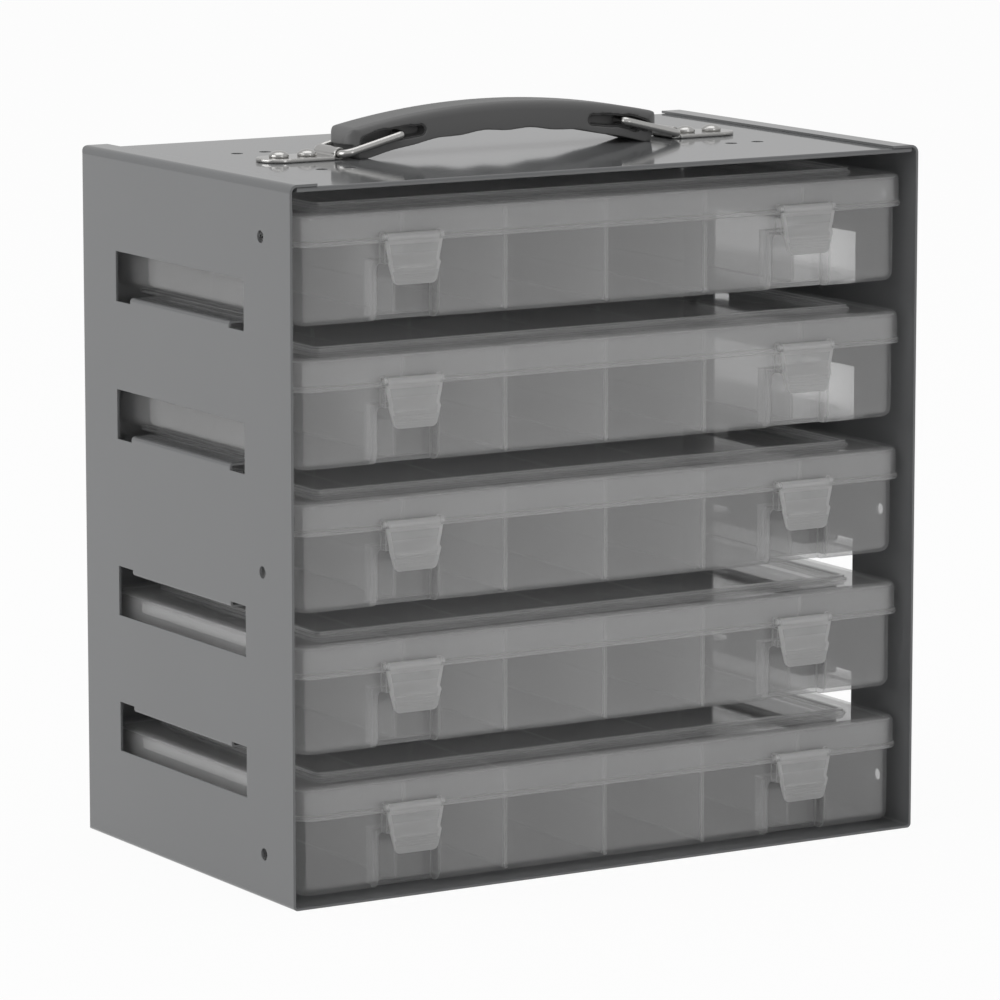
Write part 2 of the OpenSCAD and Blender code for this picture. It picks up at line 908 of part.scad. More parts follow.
module latch_face(inset) {
    polygon([
        [-plate_top_w / 2 + inset, plate_top - inset],
        [-latch_crease_w / 2 + inset, catch_bottom],
        [-latch_thumb_w / 2 + inset, thumb_bottom + thumb_corner + inset / 2],
        [-latch_thumb_w / 2 + thumb_corner + inset / 2, thumb_bottom + inset],
        [latch_thumb_w / 2 - thumb_corner - inset / 2, thumb_bottom + inset],
        [latch_thumb_w / 2 - inset, thumb_bottom + thumb_corner + inset / 2],
        [latch_crease_w / 2 - inset, catch_bottom],
        [plate_top_w / 2 - inset, plate_top - inset]
    ]);
}

// Side view of a latch plate, its front face raised by the given height
module latch_side(raised) {
    polygon([
        [latch_front - raised, plate_top],
        [latch_front - raised, catch_bottom],
        [latch_front - raised - thumb_lean, thumb_bottom],
        [latch_back - thumb_lean, thumb_bottom],
        [latch_back, catch_bottom],
        [latch_back, plate_top]
    ]);
}

module latch_plate() {
    intersection() {
        along_y(2 * pivot_y, 0)
            latch_face(0);
        along_x(-latch_w, latch_w)
            latch_side(0);
    }
    intersection() {
        along_y(2 * pivot_y, 0)
            difference() {
                latch_face(0);
                latch_face(border_w);
            }
        along_x(-latch_w, latch_w)
            latch_side(border_h);
    }
}

module latch_hook() {
    top = catch_bottom - hook_gap;
    along_x(-hook_w / 2, hook_w / 2)
        polygon([
            [latch_back - weld - thumb_lean, top - hook_h - hook_bite],
            [latch_back - weld - thumb_lean, top],
            [catch_front + hook_bite, top],
            [catch_front + hook_bite, top - hook_h / 2]
        ]);
}

module latch() {
    barrel_l = latch_w - 2 * (ear_t + ear_gap);
    color("#D0D0D0", 0.7)
        union() {
            latch_plate();
            latch_hook();
            translate([0, pivot_y, pivot_z]) {
                rod_x(barrel_d, barrel_l);
                rod_x(trunnion_d, latch_w);
            }
            translate([-barrel_l / 2, latch_front, plate_top - weld])
                cube([barrel_l, latch_t, pivot_z - plate_top + weld]);
        }
}

module in_rack(n) {
    translate([box_x, box_y, sheet + (n - 1) * pitch])
        children();
}

// Every piece in its place

rack_body();
top_back_panel();
mirror([1, 0, 0]) handle_plate();  // handle_plate_left
handle_plate();  // handle_plate_right
handle_rivets();
grip();
slot_liners();
wire_link();  // wire_link_left
mirror([1, 0, 0]) wire_link();  // wire_link_right
for (n = [1 : box_count]) {
    in_rack(n) tray();
    in_rack(n) lid();
    in_rack(n) dividers();
    in_rack(n) hinge_pins();
    in_rack(n) translate([-latch_x, 0, 0]) latch();
    in_rack(n) translate([latch_x, 0, 0]) latch();
}
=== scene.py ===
# %% [markdown]
# # A carrying rack with five compartment boxes
# The real object is a rack of folded steel sheet, five translucent plastic boxes that stand on ledges
# in it, and a lift-up handle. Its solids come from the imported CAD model, already at their real size
# and in one shared frame. This lesson dresses them: it sets up the camera and the studio, makes the
# finishes, and models again the pieces whose soft edges the solids leave sharp.

# %% Load the frame
import json
import math
import bmesh
import bpy
from mathutils import Matrix, Vector


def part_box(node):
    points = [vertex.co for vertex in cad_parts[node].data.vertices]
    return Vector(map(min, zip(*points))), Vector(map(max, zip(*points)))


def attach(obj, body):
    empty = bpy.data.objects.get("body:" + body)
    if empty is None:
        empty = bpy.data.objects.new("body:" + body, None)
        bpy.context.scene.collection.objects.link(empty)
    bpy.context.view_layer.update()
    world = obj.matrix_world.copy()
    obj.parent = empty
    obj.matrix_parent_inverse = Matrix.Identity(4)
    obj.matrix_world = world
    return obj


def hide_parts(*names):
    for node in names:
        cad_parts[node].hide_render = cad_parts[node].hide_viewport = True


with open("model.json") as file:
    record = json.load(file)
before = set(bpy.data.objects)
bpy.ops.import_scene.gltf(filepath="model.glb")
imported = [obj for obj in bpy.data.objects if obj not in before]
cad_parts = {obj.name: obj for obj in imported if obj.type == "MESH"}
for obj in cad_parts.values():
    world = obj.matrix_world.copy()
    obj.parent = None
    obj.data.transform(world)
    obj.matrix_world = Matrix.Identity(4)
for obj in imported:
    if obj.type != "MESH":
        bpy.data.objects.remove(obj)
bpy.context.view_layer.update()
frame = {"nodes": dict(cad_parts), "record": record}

nodes = frame["nodes"]
scene = bpy.context.scene

# %% [markdown]
# ## Camera
# The rack was photographed from its left front corner, a little above the middle, with a long lens.
# The camera's place and focal length were worked out from the corners of the rack, so straight edges
# run nearly as they do in the photograph. The lens isn't shifted, so the target is what the middle of the
# picture shows.

# %% Camera
MM = 0.001
camera_place = Vector((-1217.0, -2006.5, 520.5)) * MM
camera_target = Vector((0.1, 0, 135.3)) * MM
focal_length = 212.25
sensor_width = 36

camera_data = bpy.data.cameras.new("photo_camera")
camera_data.lens = focal_length
camera_data.sensor_width = sensor_width
camera = bpy.data.objects.new("photo_camera", camera_data)
scene.collection.objects.link(camera)
camera.location = camera_place
camera.rotation_mode = "QUATERNION"
camera.rotation_quaternion = (camera_target - camera_place).to_track_quat("-Z", "Y")
scene.camera = camera
print("camera distance in metres:", round((camera_target - camera_place).length, 3))

# %% [markdown]
# ## Helpers for finishes
# Colours are written as sRGB hex values, as a colour picker shows them, and one function turns them into
# the linear numbers that shaders work with. A second function adds a shader node, sets it up and links it,
# so that a finish reads as a short list of what it is made of. Patterns are given by the real size of their
# marks, which a last function turns into a texture's scale.

# %% Helpers for finishes
BEVEL_SAMPLES = 4


def linear(hex_colour):
    """The linear RGBA value of an sRGB hex colour."""
    channels = [int(hex_colour[i:i + 2], 16) / 255 for i in (1, 3, 5)]
    return [c / 12.92 if c <= 0.04045 else ((c + 0.055) / 1.055) ** 2.4 for c in channels] + [1]


def add_node(tree, kind, inputs=None, **settings):
    """Adds a shader node, sets its properties, then sets or links its inputs."""
    made = tree.nodes.new(kind)
    for name, value in settings.items():
        setattr(made, name, value)
    for name, value in (inputs or {}).items():
        if isinstance(value, bpy.types.NodeSocket):
            tree.links.new(value, made.inputs[name])
        else:
            made.inputs[name].default_value = value
    return made


def new_finish(name):
    """An empty material and its node tree."""
    finish = bpy.data.materials.new(name)
    finish.use_nodes = True
    finish.node_tree.nodes.clear()
    return finish, finish.node_tree


def per_metre(size_mm):
    """Texture scale for a pattern whose marks are this many millimetres across."""
    return 1 / (size_mm * MM)

# %% [markdown]
# ## Studio
# The photograph is a cut-out on white. A pale floor, a white world and large soft lamps give the same
# even light. The world is white where the camera looks at it. In reflections and as a light it is dimmer,
# as a studio wall is, and the lamps add the rest.

# %% World
AMBIENT = 0.58
MIRRORED_WHITE = 0.6
world = bpy.data.worlds.new("white_studio")
world.use_nodes = True
scene.world = world
tree = world.node_tree
tree.nodes.clear()
rays = add_node(tree, "ShaderNodeLightPath")
mirrored = add_node(tree, "ShaderNodeMath", {
    0: rays.outputs["Is Glossy Ray"],
    1: rays.outputs["Is Transmission Ray"],
}, operation="MAXIMUM")
unseen = add_node(tree, "ShaderNodeMix", {
    "Factor": mirrored.outputs[0],
    "A": AMBIENT,
    "B": MIRRORED_WHITE,
})
strength = add_node(tree, "ShaderNodeMix", {
    "Factor": rays.outputs["Is Camera Ray"],
    "A": unseen.outputs[0],
    "B": 1.0,
})
light = add_node(tree, "ShaderNodeBackground", {
    "Color": linear("#FFFFFF"),
    "Strength": strength.outputs[0],
})
add_node(tree, "ShaderNodeOutputWorld", {"Surface": light.outputs[0]})
print("world:", world.name, "ambient:", AMBIENT)

# %% [markdown]
# The floor has to look white and still take the shadow of the rack. Its paper is a plain pale surface, and a
# glow of strength 1 covers most of it, but only for the camera and for reflections. The rest of the paper
# shows through, with the shadow on it.

# %% Floor
FLOOR_SIZE = 12
FLOOR_WHITE = 0.95
bpy.ops.object.select_all(action="DESELECT")
bpy.ops.mesh.primitive_plane_add(size=FLOOR_SIZE, location=(0, 0, 0))
floor = bpy.context.object
floor.name = "studio_floor"
finish, tree = new_finish("white_paper_floor")
rays = add_node(tree, "ShaderNodeLightPath")
paper = add_node(tree, "ShaderNodeBsdfDiffuse", {"Color": linear("#E8E8E8")})
glow = add_node(tree, "ShaderNodeEmission", {"Color": linear("#FFFFFF"), "Strength": 1})
seen = add_node(tree, "ShaderNodeMath", {
    0: rays.outputs["Is Camera Ray"],
    1: rays.outputs["Is Glossy Ray"],
}, operation="MAXIMUM")
share = add_node(tree, "ShaderNodeMath", {0: seen.outputs[0], 1: FLOOR_WHITE}, operation="MULTIPLY")
mixed = add_node(tree, "ShaderNodeMixShader", {
    0: share.outputs[0],
    1: paper.outputs[0],
    2: glow.outputs[0],
})
add_node(tree, "ShaderNodeOutputMaterial", {"Surface": mixed.outputs[0]})
floor.data.materials.append(finish)
print("floor side in metres:", FLOOR_SIZE)

# %% [markdown]
# Three square softboxes light the rack, as in a product studio: a large key lamp on its left, a small one in
# front that lifts the boxes, and a wide one over the top. Area lamps this large give soft edges to shadows.

# %% Lamps
def add_softbox(name, place, target, size, power):
    """A square area lamp at a place, pointed at a target, in metres and watts."""
    lamp = bpy.data.lights.new(name, "AREA")
    lamp.shape = "SQUARE"
    lamp.size = size
    lamp.energy = power
    made = bpy.data.objects.new(name, lamp)
    scene.collection.objects.link(made)
    made.location = place
    made.rotation_mode = "QUATERNION"
    made.rotation_quaternion = (Vector(target) - Vector(place)).to_track_quat("-Z", "Y")
    return made


rack_middle = (0, 0, 0.14)
add_softbox("key_softbox", place=(-2.1, 0.3, 0.6), target=rack_middle, size=1.6, power=16)
add_softbox("front_softbox", place=(0.1, -2.4, 0.65), target=rack_middle, size=0.7, power=2.5)
add_softbox("top_softbox", place=(0.1, 0.3, 2.4), target=rack_middle, size=1.8, power=10)

# %% [markdown]
# ## Coated steel
# The rack is rolled sheet with a baked grey enamel. The coat is smooth enough to mirror what stands on it
# at a low angle, with a very fine orange-peel ripple where it levelled out, and it builds up a soft round
# edge where the sheet was cut. A bump gives the ripple, and a bevel in the shader rounds the cut edges, so
# the solids of the sheet stay exact. Wide, faint clouds in the tone keep large walls from looking flat.

# %% Coated steel
ORANGE_PEEL_MM = 2.2
CLOUD_MM = 90
CUT_EDGE_MM = 0.35
coated_steel, tree = new_finish("baked_enamel_on_steel")
place = add_node(tree, "ShaderNodeTexCoord")
edges = add_node(tree, "ShaderNodeBevel", {"Radius": CUT_EDGE_MM * MM}, samples=BEVEL_SAMPLES)
peel = add_node(tree, "ShaderNodeTexNoise", {
    "Vector": place.outputs["Object"],
    "Scale": per_metre(ORANGE_PEEL_MM),
    "Detail": 1.5,
})
ripple = add_node(tree, "ShaderNodeBump", {
    "Height": peel.outputs["Fac"],
    "Strength": 0.03,
    "Distance": 0.2 * MM,
    "Normal": edges.outputs["Normal"],
})
tone = add_node(tree, "ShaderNodeTexNoise", {
    "Vector": place.outputs["Object"],
    "Scale": per_metre(CLOUD_MM),
    "Detail": 3,
})
tint = add_node(tree, "ShaderNodeValToRGB", {"Fac": tone.outputs["Fac"]})
tint.color_ramp.elements[0].color = linear("#6C6D6E")
tint.color_ramp.elements[1].color = linear("#717273")
shine = add_node(tree, "ShaderNodeBsdfPrincipled", {
    "Base Color": tint.outputs["Color"],
    "Roughness": 0.08,
    "IOR": 1.5,
    "Normal": ripple.outputs["Normal"],
})
add_node(tree, "ShaderNodeOutputMaterial", {"Surface": shine.outputs[0]})
print("finish:", coated_steel.name)

# %% [markdown]
# ## Plated steel, and a darker steel with painted shade for the slot liners
# Handle plates, rivets and links are bright nickel-plated steel. The plating is a true metal, so its colour
# lives in the reflection, and faint smears from handling change how sharp that reflection is. The liners in
# the grip's slots sit in shade inside the grip, so they get a darker, duller steel that is no metal and gives
# only a dull sheen: that dark colour is painted shade. One function makes both.

# %% Steel finishes
SMEAR_MM = 20
PLATED_EDGE_MM = 0.7


def steel_finish(name, colour, metallic, smooth, dull):
    """A finish on steel whose roughness wanders between two values where hands have smeared it."""
    finish, tree = new_finish(name)
    place = add_node(tree, "ShaderNodeTexCoord")
    edges = add_node(tree, "ShaderNodeBevel", {"Radius": PLATED_EDGE_MM * MM}, samples=BEVEL_SAMPLES)
    smear = add_node(tree, "ShaderNodeTexNoise", {
        "Vector": place.outputs["Object"],
        "Scale": per_metre(SMEAR_MM),
        "Detail": 3,
    })
    rough = add_node(tree, "ShaderNodeMapRange", {
        "Value": smear.outputs["Fac"],
        "To Min": smooth,
        "To Max": dull,
    })
    shine = add_node(tree, "ShaderNodeBsdfPrincipled", {
        "Base Color": linear(colour),
        "Metallic": metallic,
        "Roughness": rough.outputs[0],
        "Normal": edges.outputs["Normal"],
    })
    add_node(tree, "ShaderNodeOutputMaterial", {"Surface": shine.outputs[0]})
    return finish


plated_steel = steel_finish("nickel_plated_steel", "#C4C3C1", metallic=1, smooth=0.14, dull=0.22)
# Painted shade: the liners' steel is darker and duller than the plating, for the shade inside the grip's
# slots.
liner_steel_painted_shade = steel_finish("liner_steel_painted_shade", "#555555", metallic=0, smooth=0.55, dull=0.65)
print("finishes:", plated_steel.name, liner_steel_painted_shade.name)

# %% [markdown]
# ## Grip plastic
# The grip is moulded in dark grey polypropylene with a fine spark-eroded texture, which gives it a broad soft
# highlight along its upper edges. Its grey was chosen so that the grip comes near the tone in the photograph.

# %% Grip plastic
SPARK_GRAIN_MM = 0.6
grip_plastic, tree = new_finish("moulded_grey_polypropylene")
place = add_node(tree, "ShaderNodeTexCoord")
grain = add_node(tree, "ShaderNodeTexNoise", {
    "Vector": place.outputs["Object"],
    "Scale": per_metre(SPARK_GRAIN_MM),
    "Detail": 2,
})
relief = add_node(tree, "ShaderNodeBump", {
    "Height": grain.outputs["Fac"],
    "Strength": 0.12,
    "Distance": 0.1 * MM,
})
rough = add_node(tree, "ShaderNodeMapRange", {"Value": grain.outputs["Fac"], "To Min": 0.36, "To Max": 0.46})
shine = add_node(tree, "ShaderNodeBsdfPrincipled", {
    "Base Color": linear("#686868"),
    "Roughness": rough.outputs[0],
    "IOR": 1.49,
    "Normal": relief.outputs["Normal"],
})
add_node(tree, "ShaderNodeOutputMaterial", {"Surface": shine.outputs[0]})
print("finish:", grip_plastic.name)

# %% [markdown]
# ## Translucent polypropylene
# Trays, lids and latches are moulded in natural polypropylene. Thin walls of it are partly clear and partly
# milky: some light goes straight through, some is scattered back, and some is scattered on to the far side.
# Glass would bend and mirror too much, so simple shaders are mixed: a milky skin, a translucent one for the
# light that comes through softly, and a transparent one for the clear share of each face. A gloss on top of
# them grows towards a low angle, which is why a lid mirrors the windows behind it. Edges and thick sections
# hold more milk than a flat wall, so they show as light lines: a bevel finds the edges, and a value that a
# piece can store on its faces, named thick, marks its heavy sections.

# %% Translucent polypropylene
FLOW_MARK_MM = 18
FLOW_MARK_DULLING = 1.5
MOULD_EDGE_MM = 1.0
MILKY_TURN = 0.75        # cosine between bevelled and true normal at which an edge is milky all through
EDGE_MILK = 0.5
SOFT_SHARE = 0.72
GLOSS_STRAIGHT = 0.039   # share of light that polypropylene mirrors when seen straight on
GLOSS_RISE = 5.0         # power with which that share grows towards a low angle
MILK_COLOUR = "#F0F0F0"
CLEAR_TINT = "#FEFEFE"


def translucent_plastic(name, clear, roughness):
    """Natural polypropylene, from the share of light that passes each face unchanged and its roughness."""
    finish, tree = new_finish(name)
    place = add_node(tree, "ShaderNodeTexCoord")
    edges = add_node(tree, "ShaderNodeBevel", {"Radius": MOULD_EDGE_MM * MM}, samples=BEVEL_SAMPLES)
    face = add_node(tree, "ShaderNodeNewGeometry")
    turn = add_node(tree, "ShaderNodeVectorMath", {
        0: edges.outputs["Normal"],
        1: face.outputs["Normal"],
    }, operation="DOT_PRODUCT")
    edge = add_node(tree, "ShaderNodeMapRange", {
        "Value": turn.outputs["Value"],
        "From Min": 1.0,
        "From Max": MILKY_TURN,
    })
    thick = add_node(tree, "ShaderNodeAttribute", attribute_name="thick")
    milk = add_node(tree, "ShaderNodeMath", {
        0: edge.outputs[0],
        1: thick.outputs["Fac"],
    }, operation="MAXIMUM")
    left_clear = add_node(tree, "ShaderNodeMapRange", {
        "Value": milk.outputs[0],
        "To Min": clear,
        "To Max": clear * (1 - EDGE_MILK),
    })
    flow = add_node(tree, "ShaderNodeTexNoise", {
        "Vector": place.outputs["Object"],
        "Scale": per_metre(FLOW_MARK_MM),
        "Detail": 2,
    })
    rough = add_node(tree, "ShaderNodeMapRange", {
        "Value": flow.outputs["Fac"],
        "To Min": roughness,
        "To Max": FLOW_MARK_DULLING * roughness,
    })
    skin = add_node(tree, "ShaderNodeBsdfPrincipled", {
        "Base Color": linear(MILK_COLOUR),
        "Roughness": rough.outputs[0],
        "IOR": 1.49,
        "Normal": edges.outputs["Normal"],
    })
    soft = add_node(tree, "ShaderNodeBsdfTranslucent", {"Color": linear(MILK_COLOUR)})
    body = add_node(tree, "ShaderNodeMixShader", {0: SOFT_SHARE, 1: skin.outputs[0], 2: soft.outputs[0]})
    window = add_node(tree, "ShaderNodeBsdfTransparent", {"Color": linear(CLEAR_TINT)})
    wall = add_node(tree, "ShaderNodeMixShader", {
        0: left_clear.outputs[0],
        1: body.outputs[0],
        2: window.outputs[0],
    })
    angle = add_node(tree, "ShaderNodeLayerWeight", {"Blend": 0.5, "Normal": edges.outputs["Normal"]})
    rise = add_node(tree, "ShaderNodeMath", {0: angle.outputs["Facing"], 1: GLOSS_RISE}, operation="POWER")
    mirror_share = add_node(tree, "ShaderNodeMapRange", {"Value": rise.outputs[0], "To Min": GLOSS_STRAIGHT})
    gloss = add_node(tree, "ShaderNodeBsdfGlossy", {
        "Color": linear("#FFFFFF"),
        "Roughness": rough.outputs[0],
        "Normal": edges.outputs["Normal"],
    })
    glazed = add_node(tree, "ShaderNodeMixShader", {
        0: mirror_share.outputs[0],
        1: wall.outputs[0],
        2: gloss.outputs[0],
    })
    add_node(tree, "ShaderNodeOutputMaterial", {"Surface": glazed.outputs[0]})
    return finish


tray_plastic = translucent_plastic("moulded_polypropylene_tray", clear=0.74, roughness=0.08)
lid_plastic = translucent_plastic("polished_polypropylene_lid", clear=0.72, roughness=0.04)
latch_plastic = translucent_plastic("moulded_polypropylene_latch", clear=0.67, roughness=0.16)
print("finishes:", tray_plastic.name, lid_plastic.name, latch_plastic.name)

# %% [markdown]
# A look into a full box crosses many clear faces, two for each wall and divider. Past a limit the renderer
# stops and shows black, so the limit is raised above the number of faces in a row.

# %% See through a full box
CLEAR_FACES_IN_A_ROW = 32
scene.cycles.transparent_max_bounces = CLEAR_FACES_IN_A_ROW
print("clear faces in a row:", CLEAR_FACES_IN_A_ROW)

# %% [markdown]
# ## Dressing
# Each node names a material slot in the part's record, and that slot decides its finish. Only the slot liners
# get a finish of their own: a darker, duller steel that paints the shade inside the grip's slots.

# %% Dress the CAD nodes
slot_finishes = {
    "coated_steel": coated_steel,
    "plated_steel": plated_steel,
    "grip_plastic": grip_plastic,
    "tray_plastic": tray_plastic,
    "lid_plastic": lid_plastic,
    "latch_plastic": latch_plastic,
}
# The slot liners get the darker steel, which is painted shade.
node_finishes = {"slot_liners": liner_steel_painted_shade}
for part in frame["record"]["subparts"]:
    mesh = nodes[part["node"]].data
    mesh.materials.clear()
    mesh.materials.append(node_finishes.get(part["node"], slot_finishes[part["material_slot"]]))

# %% [markdown]
# ## Grip, handle plates and rivets
# No edge on the real grip is sharp: it comes out of a mould with rounded edges, with ends like a nose and
# slots with soft lips. The handle plates are folded from strap with rolled edges, and the rivets were pressed
# to domes.
# The solids have the right outlines with crisp edges. Rounding hundreds of small edges one by one would be
# slow, so a copy of each mesh is laid over an even grid of small squares, and a few rounds of smoothing then
# draw every edge in, as polishing does. With a coarser grid or more rounds the slots of the grip would touch
# the links.

# %% Soft copies of hard-edged solids
NEAR = 0.02 * MM
POLISH_STRENGTH = 0.5
GRIP_GRID_MM = 0.4
GRIP_ROUNDS = 6
STEEL_GRID_MM = 0.3
STEEL_ROUNDS = 8


def open_piece(piece):
    """Makes a piece the only selected one and opens it in edit mode."""
    bpy.ops.object.select_all(action="DESELECT")
    bpy.context.view_layer.objects.active = piece
    piece.select_set(True)
    bpy.ops.object.mode_set(mode="EDIT")


def soft_copy(node_name, body, grid_mm, rounds):
    """A copy of a CAD node with all its edges drawn in, which then stands in for the node."""
    piece = bpy.data.objects.new(f"{node_name}.polished", nodes[node_name].data.copy())
    scene.collection.objects.link(piece)
    open_piece(piece)
    bpy.ops.mesh.select_all(action="SELECT")
    bpy.ops.mesh.remove_doubles(threshold=NEAR)
    bpy.ops.object.mode_set(mode="OBJECT")
    grid = piece.modifiers.new("even_grid", "REMESH")
    grid.mode = "VOXEL"
    grid.voxel_size = grid_mm * MM
    grid.use_smooth_shade = True
    bpy.ops.object.modifier_apply(modifier=grid.name)
    polish = piece.modifiers.new("polish", "SMOOTH")
    polish.factor = POLISH_STRENGTH
    polish.iterations = rounds
    bpy.ops.object.modifier_apply(modifier=polish.name)
    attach(piece, body)
    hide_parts(node_name)
    print(piece.name, "triangles:", sum(len(p.vertices) - 2 for p in piece.data.polygons))
    return piece


grip = soft_copy("grip", "grip", GRIP_GRID_MM, GRIP_ROUNDS)
for name in ("handle_plate_left", "handle_plate_right", "handle_rivets"):
    piece = soft_copy(name, "rack", STEEL_GRID_MM, STEEL_ROUNDS)

# %% [markdown]
# ## Latches
# A latch is one moulding: a thin plate that hangs from a barrel in the ears of the lid, a ramp that kicks out
# over the catch, and a ribbed tab for the thumb. The plate has a raised border against bending. The solid in
# the CAD model gives its size and its sharp outline, and at arm's length the eye looks for the rest: the soft
# border, the ramp and the ribs. It could be lofted from sections, but a moulding with a flat back is easier
# to make as by hand, from a block that is cut at a few heights, drawn in at each of them, and then inset.

# %% Helpers for modelling
STRAIGHT = 0.9           # cosine above which a face looks straight along an axis
LEANING = 0.5            # cosine above which it still looks more or less that way


def start_block(name, low, high):
    """A block between two corners, left open in edit mode with nothing selected."""
    bpy.ops.object.select_all(action="DESELECT")
    bpy.ops.mesh.primitive_cube_add(size=1, location=(low + high) / 2, scale=high - low)
    block = bpy.context.object
    block.name = name
    bpy.ops.object.transform_apply(location=True, rotation=True, scale=True)
    bpy.ops.object.mode_set(mode="EDIT")
    bpy.ops.mesh.select_all(action="DESELECT")
    return block


def pick(kind, test):
    """Selects those vertices, edges or faces of the open mesh that pass a test, and counts them."""
    bpy.ops.mesh.select_mode(type=kind)
    bpy.ops.mesh.select_all(action="DESELECT")
    mesh = bmesh.from_edit_mesh(bpy.context.object.data)
    items = {"VERT": mesh.verts, "EDGE": mesh.edges, "FACE": mesh.faces}[kind]
    for item in items:
        if test(item):
            item.select_set(True)
    mesh.select_flush_mode()
    bmesh.update_edit_mesh(bpy.context.object.data)
    return sum(item.select for item in items)


def cut_level(height):
    """Cuts the open mesh along a level plane."""
    bpy.ops.mesh.select_all(action="SELECT")
    bpy.ops.mesh.bisect(plane_co=(0, 0, height), plane_no=(0, 0, 1))


def add_block(low, high):
    """Adds one more block to the open mesh and leaves it selected."""
    bpy.ops.mesh.select_all(action="DESELECT")
    bpy.ops.mesh.primitive_cube_add(size=1, location=(low + high) / 2, scale=high - low)

# %% [markdown]
# The plate starts as a block as wide as its top. It is cut at a few levels, each level is drawn in to its
# own width, and the tab below the crease is moved forward, which leaves a slope above it. The two lower
# corners of the tab are then rounded.

# %% Latch plate
PLATE_TOP_MM = 16.8
RAMP_TOP_MM = 11.8
NECK_MM = 9.2
CREASE_MM = 8.0
PLATE_WIDTHS_MM = {PLATE_TOP_MM: 25.0, RAMP_TOP_MM: 23.0, NECK_MM: 21.8, CREASE_MM: 22.6, 0: 18.0}
PLATE_FRONT_MM = 0.6
PLATE_BACK_MM = 2.4
TAB_CORNER_MM = 1.6
BORDER_MM = 1.3
BORDER_DEPTH_MM = 0.45
SOFT_EDGE_MM = 0.3

latch_low, latch_high = (Vector(corner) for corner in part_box("latch_left_1"))
latch_origin = Vector(((latch_low.x + latch_high.x) / 2, latch_low.y, latch_low.z))


def latch_point(x, y, z):
    """A place on the first latch: from its middle, from its front and from its foot, in millimetres."""
    return latch_origin + Vector((x, y, z)) * MM


def at_level(vertex, level):
    """True if a vertex lies at this height of the latch, in millimetres from its foot."""
    return abs(vertex.co.z - latch_point(0, 0, level).z) < NEAR


half_top = PLATE_WIDTHS_MM[PLATE_TOP_MM] / 2
latch = start_block("latch_left_1.moulded", latch_point(-half_top, PLATE_FRONT_MM, 0),
                    latch_point(half_top, PLATE_BACK_MM, PLATE_TOP_MM))
for level in (RAMP_TOP_MM, NECK_MM, CREASE_MM):
    cut_level(latch_point(0, 0, level).z)
for level, width in PLATE_WIDTHS_MM.items():
    pick("VERT", lambda v: at_level(v, level))
    narrowed = width / PLATE_WIDTHS_MM[PLATE_TOP_MM]
    bpy.ops.transform.resize(value=(narrowed, 1, 1), center_override=latch_origin)
tab_top = latch_point(0, 0, CREASE_MM).z
pick("VERT", lambda v: v.co.z < tab_top + NEAR)
bpy.ops.transform.translate(value=(0, -PLATE_FRONT_MM * MM, 0))
pick("EDGE", lambda e: all(at_level(v, 0) for v in e.verts) and abs(e.verts[0].co.x - e.verts[1].co.x) < NEAR)
bpy.ops.mesh.bevel(offset=TAB_CORNER_MM * MM, segments=5, affect="EDGES")
print("latch plate faces:", len(bmesh.from_edit_mesh(latch.data).faces))

# %% [markdown]
# All faces at the front are inset together and pushed back, which leaves the border standing. Every sharp
# edge is then rounded a little, as no mould leaves one sharp.

# %% Latch border
SHARP = math.radians(30)
pick("FACE", lambda f: f.normal.y < -LEANING)
bpy.ops.mesh.inset(thickness=BORDER_MM * MM, depth=-BORDER_DEPTH_MM * MM)
pick("EDGE", lambda e: len(e.link_faces) == 2 and e.calc_face_angle() > SHARP)
bpy.ops.mesh.bevel(offset=SOFT_EDGE_MM * MM, segments=2, affect="EDGES", clamp_overlap=True)
print("latch faces with border:", len(bmesh.from_edit_mesh(latch.data).faces))

# %% [markdown]
# The ribs give the thumb a hold on the tab. Each is a strip of the sunk field between two level cuts, drawn
# out by less than the depth of the border.

# %% Thumb ribs
RIB_PITCH_MM = 1.1
RIB_COUNT = 5
RIB_DEPTH_MM = 0.25
RIBS_BELOW_CREASE_MM = 1.2
FIELD_ROOM_MM = 0.1
field_y = latch_point(0, BORDER_DEPTH_MM, 0).y
for rib in range(RIB_COUNT):
    rib_top = latch_point(0, 0, CREASE_MM - RIBS_BELOW_CREASE_MM - rib * RIB_PITCH_MM).z
    rib_bottom = rib_top - RIB_PITCH_MM / 2 * MM
    cut_level(rib_top)
    cut_level(rib_bottom)
    found = pick("FACE", lambda f: f.normal.y < -STRAIGHT
                 and rib_bottom < f.calc_center_median().z < rib_top
                 and abs(f.calc_center_median().y - field_y) < FIELD_ROOM_MM * MM)
    bpy.ops.mesh.extrude_region_move(TRANSFORM_OT_translate={"value": (0, -RIB_DEPTH_MM * MM, 0)})
print("ribs:", RIB_COUNT, "faces in the last one:", found)

# %% [markdown]
# The latch turns on a barrel with a thin trunnion at each end, which snaps into an ear of the lid. The ends
# of a cylinder are inset to the size of the trunnions and drawn out.

# %% Latch barrel
BARREL_RADIUS_MM = 1.3
BARREL_SIDES = 24
EAR_ROOM_MM = 1.8
TRUNNION_SHARE = 0.55
PIVOT_BACK_MM = 2.2
barrel_half = (latch_high.x - latch_low.x) / 2 - EAR_ROOM_MM * MM
pivot = latch_point(0, PIVOT_BACK_MM, (latch_high.z - latch_low.z) / MM - BARREL_RADIUS_MM)
bpy.ops.mesh.select_all(action="DESELECT")
bpy.ops.mesh.primitive_cylinder_add(vertices=BARREL_SIDES, radius=BARREL_RADIUS_MM * MM,
                                    depth=2 * barrel_half, location=pivot,
                                    rotation=(0, math.radians(90), 0))
pick("FACE", lambda f: abs(f.normal.x) > STRAIGHT and len(f.verts) == BARREL_SIDES)
bpy.ops.mesh.inset(thickness=BARREL_RADIUS_MM * (1 - TRUNNION_SHARE) * MM, use_individual=True)
bpy.ops.mesh.extrude_faces_move(TRANSFORM_OT_shrink_fatten={"value": EAR_ROOM_MM * MM})
print("barrel length in millimetres:", round(2 * barrel_half / MM, 1))

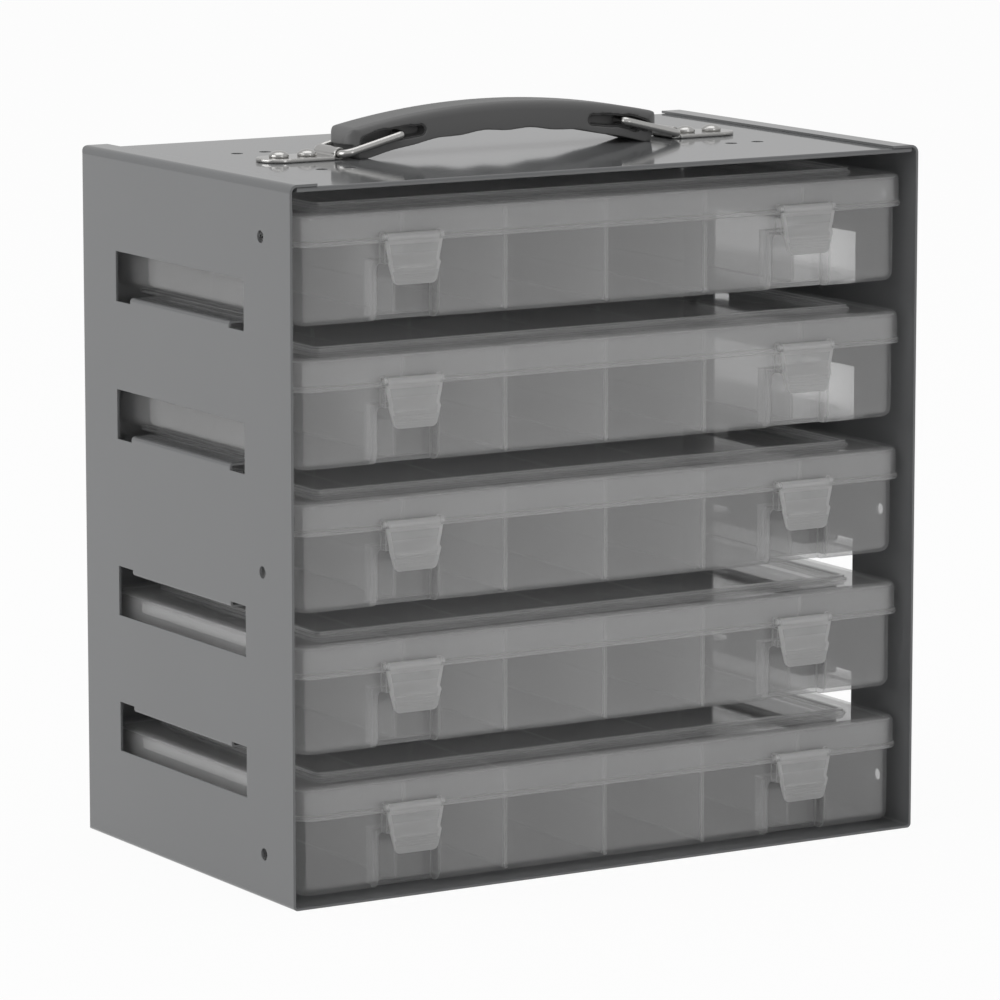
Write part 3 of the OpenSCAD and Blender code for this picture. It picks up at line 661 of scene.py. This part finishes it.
# %% [markdown]
# A neck joins plate and barrel, and a hook behind the tab holds on to the catch of the tray. Both are plain
# blocks in the moulding, and the hook gets thinner towards its tip.

# %% Latch neck and hook
SMOOTH_UNDER = math.radians(40)
NECK_FRONT_MM = 1.1
HOOK_HALF_WIDTH_MM = 8
HOOK_FRONT_MM = 1.4
HOOK_TOP_MM = 7.8
HOOK_ROOT_MM = 5.5
HOOK_TIP_MM = 7.2
latch_depth_mm = (latch_high.y - latch_low.y) / MM
add_block(latch_point(-barrel_half / MM, NECK_FRONT_MM, PLATE_TOP_MM - SOFT_EDGE_MM),
          latch_point(barrel_half / MM, PLATE_BACK_MM, (pivot.z - latch_low.z) / MM))
add_block(latch_point(-HOOK_HALF_WIDTH_MM, HOOK_FRONT_MM, HOOK_ROOT_MM),
          latch_point(HOOK_HALF_WIDTH_MM, latch_depth_mm, HOOK_TOP_MM))
pick("VERT", lambda v: v.co.y > latch_high.y - NEAR and at_level(v, HOOK_ROOT_MM))
bpy.ops.transform.translate(value=(0, 0, (HOOK_TIP_MM - HOOK_ROOT_MM) * MM))
bpy.ops.object.mode_set(mode="OBJECT")
bpy.ops.object.shade_smooth_by_angle(angle=SMOOTH_UNDER)
latch.data.materials.append(latch_plastic)
print("latch triangles:", sum(len(p.vertices) - 2 for p in latch.data.polygons))

# %% [markdown]
# The sunk field of the plate is the thinnest part of the latch, and tab and ramp are a little thicker. Border
# and barrel are heavy. Each face stores that as a number from 0 to 1, which the plastic reads as milk.

# %% Thick and thin sections of a latch
RAMP_THICKNESS = 0.6
TAB_THICKNESS = 0.55
thick = latch.data.attributes.new("thick", "FLOAT", "FACE")
ramp_top = latch_point(0, 0, RAMP_TOP_MM).z
inside_border = (PLATE_WIDTHS_MM[NECK_MM] / 2 - BORDER_MM) * MM
for face in latch.data.polygons:
    in_field = face.normal.y < -LEANING and abs(face.center.x - latch_origin.x) < inside_border
    if in_field and ramp_top < face.center.z < latch_point(0, 0, PLATE_TOP_MM - BORDER_MM).z:
        thick.data[face.index].value = 0
    elif in_field and tab_top < face.center.z < ramp_top:
        thick.data[face.index].value = RAMP_THICKNESS
    elif in_field and face.center.z < tab_top:
        thick.data[face.index].value = TAB_THICKNESS
    else:
        thick.data[face.index].value = 1
print("thick faces of a latch:", sum(item.value == 1 for item in thick.data), "of", len(thick.data))

# %% [markdown]
# The ten latches are alike, so the first one is copied with its own mesh, moved to the place of each latch in
# the CAD model. Each copy rides on the latch that it stands in for, so it swings when that latch does.

# %% A latch on every box
def copy_piece(source, name, shift):
    """A copy of a piece with its own mesh, moved within that mesh."""
    made = bpy.data.objects.new(name, source.data.copy())
    made.data.transform(Matrix.Translation(shift))
    scene.collection.objects.link(made)
    return made


latch_nodes = sorted(name for name in nodes if name.startswith("latch_"))
for name in latch_nodes:
    shift = Vector(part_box(name)[0]) - latch_low
    piece = latch if name == "latch_left_1" else copy_piece(latch, f"{name}.moulded", shift)
    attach(piece, name)
    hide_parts(name)
print("latches:", len(latch_nodes))

# %% [markdown]
# ## Last settings
# The standard view keeps white paper white and shows each grey about as it was written.

# %% Colour management
scene.view_settings.view_transform = "Standard"
print("view:", scene.view_settings.view_transform)
